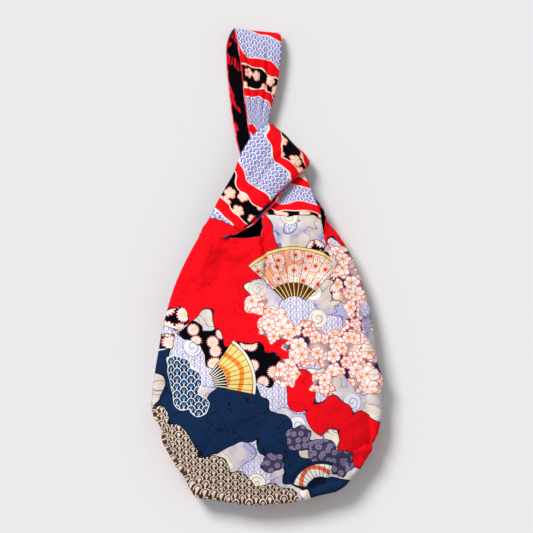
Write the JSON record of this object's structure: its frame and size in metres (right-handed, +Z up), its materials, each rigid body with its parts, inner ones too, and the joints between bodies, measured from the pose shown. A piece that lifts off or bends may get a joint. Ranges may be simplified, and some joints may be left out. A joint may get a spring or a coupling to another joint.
{
  "type": "knot wrist bag",
  "caption": "Lined cotton wrist bag with a long and a short handle cut in one with its panels, closed by the long handle passed through the short one, lying on its back.",
  "frame": {"origin": "under the middle of the overall outline, on the surface the bag lies on", "axes": "+Z up from the surface through the front of the bag; +Y from the bottom of the bag to the top of the handle; +X to the right as the front is seen from above"},
  "size_m": [0.2331, 0.4803, 0.0606],
  "materials": {
    "printed_cotton_front": "matte plain weave, traditional pattern in red, navy, cream, lavender, coral and gold",
    "printed_cotton_back": "matte plain weave, traditional pattern in red, navy, cream, lavender, coral and gold",
    "lining_cotton_front": "matte plain weave",
    "lining_cotton_back": "matte plain weave"
  },
  "bodies": {
    "root": {"outer_front_panel": "printed_cotton_front", "outer_back_panel": "printed_cotton_back", "lining_front_panel": "lining_cotton_front", "lining_back_panel": "lining_cotton_back"}
  },
  "joints": []
}
